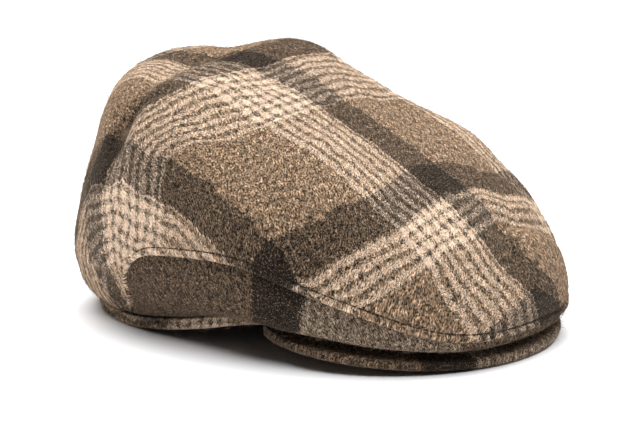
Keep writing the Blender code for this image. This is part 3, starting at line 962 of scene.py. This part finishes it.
def add_nap(name, source, cover, slot, material):
    """Curly fibres on a cloth's outer side: thin ribbons that lie along it and stand off it a little."""
    mesh = source.data
    mesh.calc_loop_triangles()
    count = len(mesh.loop_triangles)
    corners = np.empty(count * 3, dtype=np.int32)
    mesh.loop_triangles.foreach_get("vertices", corners)
    corners = corners.reshape(-1, 3)
    points = np.empty(len(mesh.vertices) * 3, dtype=np.float32)
    mesh.vertices.foreach_get("co", points)
    points = points.reshape(-1, 3).astype(float)
    corners = corners[corners.max(axis=1) < cover.size]
    flat = np.zeros((len(mesh.vertices), 2), dtype=np.float32)
    loops = np.empty(len(mesh.loops), dtype=np.int32)
    mesh.loops.foreach_get("vertex_index", loops)
    uv = np.empty(len(mesh.loops) * 2, dtype=np.float32)
    mesh.uv_layers["cloth"].data.foreach_get("uv", uv)
    flat[loops] = uv.reshape(-1, 2)
    a, b, c = (points[corners[:, k]] for k in range(3))
    area = np.linalg.norm(np.cross(b - a, c - a), axis=1) / 2 * cover.ravel()[corners].mean(axis=1)
    rng = np.random.default_rng(NAP_SEED)
    total = int(area.sum() * NAP_DENSITY)
    chosen = rng.choice(len(area), total, p=area / area.sum())
    weights = rng.dirichlet((1, 1, 1), total)
    picked = corners[chosen]
    roots = (points[picked] * weights[:, :, None]).sum(1)
    root_uv = (flat[picked] * weights[:, :, None]).sum(1)
    up = np.cross(b - a, c - a)[chosen]
    up /= np.linalg.norm(up, axis=1)[:, None]
    lie = rng.normal(size=(total, 3))
    lie -= up * (lie * up).sum(1)[:, None]
    lie /= np.linalg.norm(lie, axis=1)[:, None]
    side = np.cross(up, lie)
    length = NAP_LENGTH * rng.uniform(*NAP_LENGTHS, total)[:, None]
    stand = rng.uniform(*NAP_STANDS, total)[:, None] ** NAP_SKEW
    curl = rng.normal(size=(total, NAP_SEGMENTS + 1))[:, :, None] * NAP_CURL
    rows = []
    for k in range(NAP_SEGMENTS + 1):
        t = k / NAP_SEGMENTS
        rise = stand * length * math.sin(math.pi * NAP_ARC * t)
        middle = roots + lie * length * t + up * (rise - NAP_ROOT) + side * curl[:, k] * t
        width = NAP_WIDTH / 2 * (1 - NAP_TAPER * t)
        spin = np.cos(rng.uniform(0, np.pi, total))[:, None]
        flank = side * spin + up * np.sqrt(1 - spin**2)
        rows += [middle - flank * width, middle + flank * width]
    ribbon = np.stack(rows, axis=1)
    per = ribbon.shape[1]
    starts = np.arange(total)[:, None] * per
    faces = []
    for k in range(NAP_SEGMENTS):
        quad = starts + np.array([2 * k, 2 * k + 1, 2 * k + 3, 2 * k + 2])
        faces += quad.tolist()
    ribbon_uv = np.repeat(root_uv, per, axis=0)
    add_piece(name, ribbon.reshape(-1, 3) - MOVE, faces, ribbon_uv, material, slot)


def add_floor():
    mesh = bpy.data.meshes.new("floor")
    corners = [(x * FLOOR_HALF, y * FLOOR_HALF, 0) for x, y in ((-1, -1), (1, -1), (1, 1), (-1, 1))]
    mesh.from_pydata(corners, [], [(0, 1, 2, 3)])
    nodes = Nodes("paper")
    coordinates = nodes.node("ShaderNodeTexCoord").outputs["Object"]
    grain = nodes.noise(coordinates, PAPER_GRAIN, 3)["Fac"]
    nodes.put(nodes.mix(grain, (*PAPER_LOW, 1), (*PAPER_HIGH, 1)), nodes.shader.inputs["Base Color"])
    nodes.shader.inputs["Roughness"].default_value = 0.7
    nodes.shader.inputs["Specular IOR Level"].default_value = 0.2
    mesh.materials.append(nodes.material)
    floor = bpy.data.objects.new("floor", mesh)
    bpy.context.scene.collection.objects.link(floor)


def direction(azimuth, elevation):
    a, e = math.radians(azimuth), math.radians(elevation)
    return Vector((math.sin(a) * math.cos(e), -math.cos(a) * math.cos(e), math.sin(e)))


def aimed(thing, azimuth, elevation, distance):
    """Puts a camera or light in that direction from the cap's middle and turns it to look there."""
    way = direction(azimuth, elevation)
    thing.location = Vector(TARGET) + way * distance
    thing.rotation_mode = "QUATERNION"
    thing.rotation_quaternion = (-way).to_track_quat("-Z", "Y")
    bpy.context.scene.collection.objects.link(thing)


def add_key():
    """A soft light from far off, as wide as a big softbox overhead."""
    lamp = bpy.data.lights.new("key", "SUN")
    lamp.angle = math.radians(KEY_SPREAD)
    lamp.energy = KEY_STRENGTH
    aimed(bpy.data.objects.new("key", lamp), KEY_AZIMUTH, KEY_ELEVATION, KEY_DISTANCE)


def add_sky():
    world = bpy.data.worlds.new("studio")
    world.use_nodes = True
    tree = world.node_tree
    split = tree.nodes.new("ShaderNodeSeparateXYZ")
    tree.links.new(tree.nodes.new("ShaderNodeTexCoord").outputs["Generated"], split.inputs[0])
    sky = tree.nodes.new("ShaderNodeMapRange")
    sky.inputs["To Min"].default_value = SKY_LOW
    sky.inputs["To Max"].default_value = SKY_HIGH
    tree.links.new(split.outputs["Z"], sky.inputs["Value"])
    tree.links.new(sky.outputs["Result"], tree.nodes["Background"].inputs["Strength"])
    bpy.context.scene.world = world


def add_camera():
    bpy.context.scene.view_settings.view_transform = "Standard"
    lens = bpy.data.cameras.new("camera")
    lens.lens = CAMERA_LENS
    camera = bpy.data.objects.new("camera", lens)
    aimed(camera, CAMERA_AZIMUTH, CAMERA_ELEVATION, CAMERA_DISTANCE)
    bpy.context.scene.camera = camera


crown_wool, band_wool, rim_wool, peak_wool = (add_wool(wool, False) for wool in WOOLS)
crown_nap, band_nap, rim_nap, peak_nap = (add_wool(wool, True) for wool in WOOLS)

crown, crown_outer, crown_normals, crown_inset, crown_on_seam = add_crown(crown_wool)
band = add_front_band(band_wool)
rim = add_rim_band(rim_wool)
peak = add_peak(peak_wool)
add_stitches(crown_outer, crown_normals, crown_inset, crown_on_seam, add_thread())

# The nap covers each cloth, and leaves the stitched groove bare.
stitched = crown_on_seam * np.exp(-(((crown_inset - WELT_WIDTH) / BARE_WIDTH) ** 2))
add_nap("crown_nap", crown, 1 - stitched, "crown_cloth", crown_nap)
add_nap("band_nap", band, np.ones((BAND_ROWS, BAND_COLUMNS)), "band_cloth", band_nap)
add_nap("rim_nap", rim, np.ones((RIM_ROWS, RIM_COLUMNS)), "rim_cloth", rim_nap)
add_nap("peak_nap", peak, np.ones((PEAK_ROWS, PEAK_COLUMNS)), "peak_cloth", peak_nap)

add_floor()
add_key()
add_sky()
add_camera()
